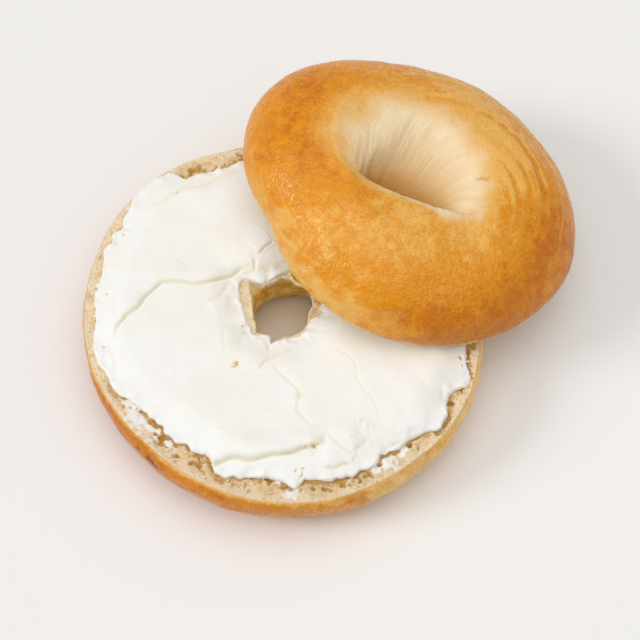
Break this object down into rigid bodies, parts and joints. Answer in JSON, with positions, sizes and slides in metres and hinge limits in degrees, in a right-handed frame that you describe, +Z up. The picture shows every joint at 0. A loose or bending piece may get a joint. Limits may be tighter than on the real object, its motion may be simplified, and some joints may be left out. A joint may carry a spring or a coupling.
{
  "type": "bagel",
  "caption": "Plain bagel, sliced open: lower half spread with cream cheese, upper half resting on it, set to one side and tipped.",
  "frame": {"origin": "middle of the bounding box's base, on the surface the bagel stands on", "axes": "+Z up; the upper half lies towards +X and +Y of the lower half, and the bare spread side faces -X and -Y"},
  "size_m": [0.1286, 0.1244, 0.0434],
  "materials": {
    "crumb": "matte, porous crumb at the cut face with a smooth golden crust round the side",
    "cream_cheese": "soft, faintly moist, spread with a knife",
    "crust": "golden-brown baked crust with a low sheen, paler in the dimple"
  },
  "bodies": {
    "root": {"bottom_half": "crumb", "cream_cheese": "cream_cheese", "top_half": "crust"}
  },
  "joints": []
}
